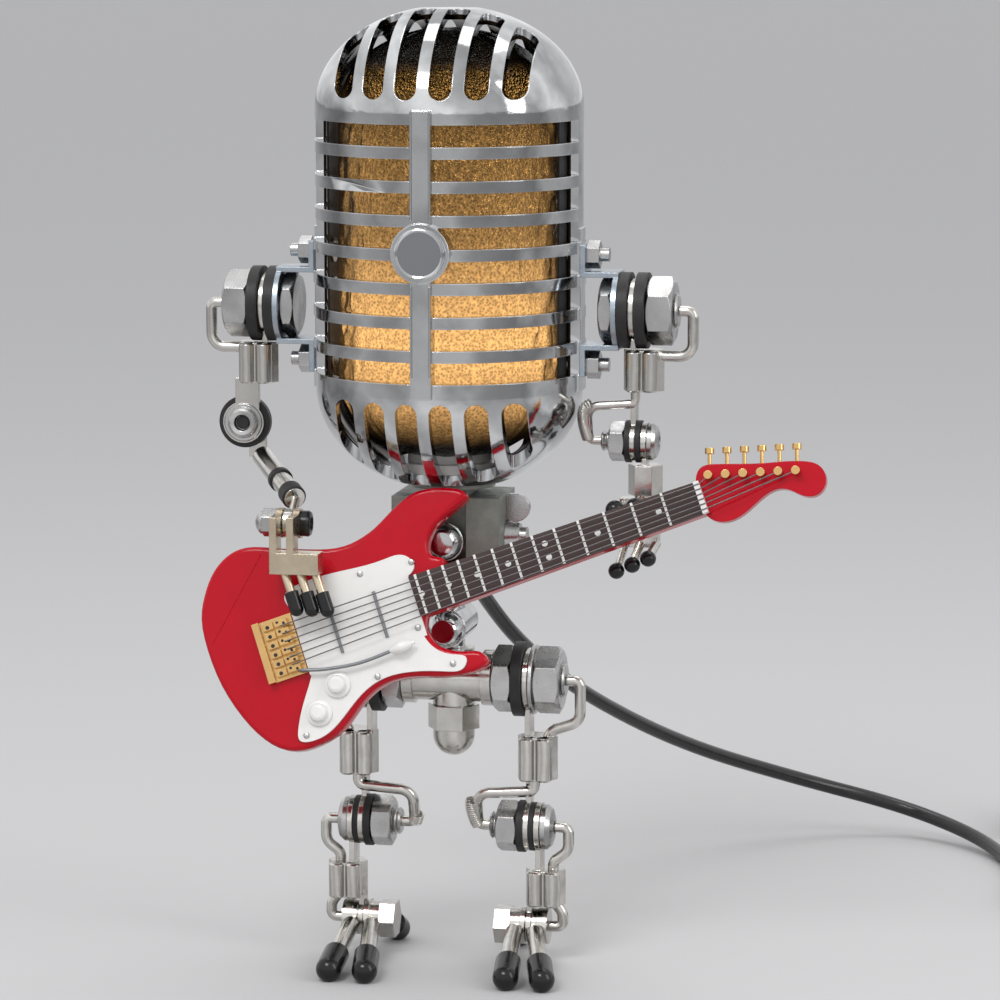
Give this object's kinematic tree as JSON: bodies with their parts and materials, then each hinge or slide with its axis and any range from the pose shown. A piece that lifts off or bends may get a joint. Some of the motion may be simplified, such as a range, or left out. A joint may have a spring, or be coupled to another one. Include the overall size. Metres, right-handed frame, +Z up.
{
  "type": "desk lamp",
  "caption": "Desk lamp built from nuts, bolts and crimp terminals as a small robot with a studio microphone grille head, holding a toy electric guitar.",
  "frame": {"origin": "middle of the bounding box on the table surface, cord and what is on it left out", "axes": "+Z up, -Y the way the robot faces, +X to the robot's left"},
  "size_m": [0.3089, 0.2741, 0.2737],
  "materials": {
    "chrome": "polished",
    "zinc_steel": "bright zinc plate",
    "blue_zinc": "blue passivated zinc plate",
    "nickel": "tinned and crimped",
    "cast_grey": "satin grey casting",
    "black_rubber": "matt",
    "dip_cap": "glossy dipped",
    "gold_foil": "crinkled foil",
    "bulb_glass": "opal",
    "white_plastic": "gloss",
    "red_gloss": "gloss lacquer",
    "dark_wood": "satin",
    "gold_plate": "polished",
    "black_pvc": "smooth",
    "black_plastic": "moulded",
    "badge_grey": "satin"
  },
  "bodies": {
    "torso": {"neck_yoke": "cast_grey", "neck_pivot": "zinc_steel", "spine_shaft": "zinc_steel", "hip_tee": "nickel", "hip_axle": "zinc_steel", "hip_nuts": "zinc_steel", "hip_rubbers": "black_rubber", "acorn_nut": "nickel", "guitar_body": "red_gloss", "guitar_fretboard": "dark_wood", "guitar_pickguard": "white_plastic", "guitar_neck": "red_gloss", "guitar_frets": "white_plastic", "guitar_bridge": "gold_plate", "guitar_strings": "zinc_steel", "guitar_tuners": "gold_plate", "guitar_controls": "white_plastic", "guitar_standoff": "zinc_steel", "cord_gland": "black_rubber", "cord": "black_pvc", "cord_coil": "black_pvc", "switch_housing": "black_plastic", "plug": "black_plastic"},
    "head": {"head_front_shell": "chrome", "head_rear_shell": "chrome", "head_badge_disc": "badge_grey", "grille_liner": "gold_foil", "lamp_holder": "white_plastic", "led_bulb": "bulb_glass", "neck_lug": "cast_grey", "shoulder_brackets": "blue_zinc", "bracket_fasteners": "zinc_steel", "shoulder_bolts": "zinc_steel", "shoulder_rubbers": "black_rubber"},
    "right_arm": {"right_upper_arm": "nickel", "right_elbow_rivet": "nickel", "right_elbow_disc": "black_rubber"},
    "right_fore": {"right_forearm": "nickel", "right_wrist_bolt": "zinc_steel"},
    "right_hand_body": {"right_hand": "nickel", "right_fingertips": "dip_cap"},
    "left_arm": {"left_upper_arm": "nickel", "left_elbow_bolt": "zinc_steel", "left_elbow_rubbers": "black_rubber"},
    "left_fore": {"left_forearm": "nickel", "left_hand": "nickel", "left_fingertips": "dip_cap"},
    "switch_rocker_body": {"switch_rocker": "black_plastic"},
    "left_thigh_body": {"left_thigh": "nickel", "left_knee_bolt": "zinc_steel", "left_knee_rubbers": "black_rubber"},
    "left_shin_body": {"left_shin": "nickel"},
    "left_foot_body": {"left_foot": "nickel", "left_toe_caps": "dip_cap"},
    "right_thigh_body": {"right_thigh": "nickel", "right_knee_bolt": "zinc_steel", "right_knee_rubbers": "black_rubber"},
    "right_shin_body": {"right_shin": "nickel"},
    "right_foot_body": {"right_foot": "nickel", "right_toe_caps": "dip_cap"}
  },
  "joints": [
    {"name": "neck_tilt", "type": "hinge", "parent": "torso", "child": "head", "pos_m": [-0.01834, 0.00167, 0.1244], "axis": [1, 0, 0], "range_deg": [-6, 2]},
    {"name": "right_shoulder", "type": "hinge", "parent": "head", "child": "right_arm", "pos_m": [-0.07184, 0.00167, 0.1895], "axis": [1, 0, 0], "range_deg": [-60, 0]},
    {"name": "right_elbow", "type": "hinge", "parent": "right_arm", "child": "right_fore", "pos_m": [-0.07984, 0.00167, 0.155], "axis": [0, 1, 0], "range_deg": [-35, 0]},
    {"name": "right_wrist", "type": "hinge", "parent": "right_fore", "child": "right_hand_body", "pos_m": [-0.05934, -0.02743, 0.1306], "axis": [1, 0, 0], "range_deg": [-40, 0]},
    {"name": "left_shoulder", "type": "hinge", "parent": "head", "child": "left_arm", "pos_m": [0.03316, 0.00167, 0.1895], "axis": [1, 0, 0], "range_deg": [0, 60]},
    {"name": "left_elbow", "type": "hinge", "parent": "left_arm", "child": "left_fore", "pos_m": [0.03316, 0.00167, 0.1523], "axis": [1, 0, 0], "range_deg": [0, 70]},
    {"name": "left_hip", "type": "hinge", "parent": "torso", "child": "left_thigh_body", "pos_m": [0.00306, 0.00167, 0.0828], "axis": [1, 0, 0], "range_deg": [-70, 30]},
    {"name": "left_knee", "type": "hinge", "parent": "left_thigh_body", "child": "left_shin_body", "pos_m": [0.00296, 0.00167, 0.0397], "axis": [1, 0, 0], "range_deg": [0, 90]},
    {"name": "left_ankle", "type": "hinge", "parent": "left_shin_body", "child": "left_foot_body", "pos_m": [0.00346, 0.00167, 0.0105], "axis": [1, 0, 0], "range_deg": [-20, 20]},
    {"name": "right_hip", "type": "hinge", "parent": "torso", "child": "right_thigh_body", "pos_m": [-0.04174, 0.00167, 0.0828], "axis": [1, 0, 0], "range_deg": [-40, 30]},
    {"name": "right_knee", "type": "hinge", "parent": "right_thigh_body", "child": "right_shin_body", "pos_m": [-0.04394, 0.00167, 0.0397], "axis": [1, 0, 0], "range_deg": [0, 90]},
    {"name": "right_ankle", "type": "hinge", "parent": "right_shin_body", "child": "right_foot_body", "pos_m": [-0.04454, 0.00167, 0.0105], "axis": [1, 0, 0], "range_deg": [-20, 20]},
    {"name": "switch_rock", "type": "hinge", "parent": "torso", "child": "switch_rocker_body", "pos_m": [0.17566, 0.08567, 0.0115], "axis": [0, 1, 0], "range_deg": [-4, 4]}
  ]
}
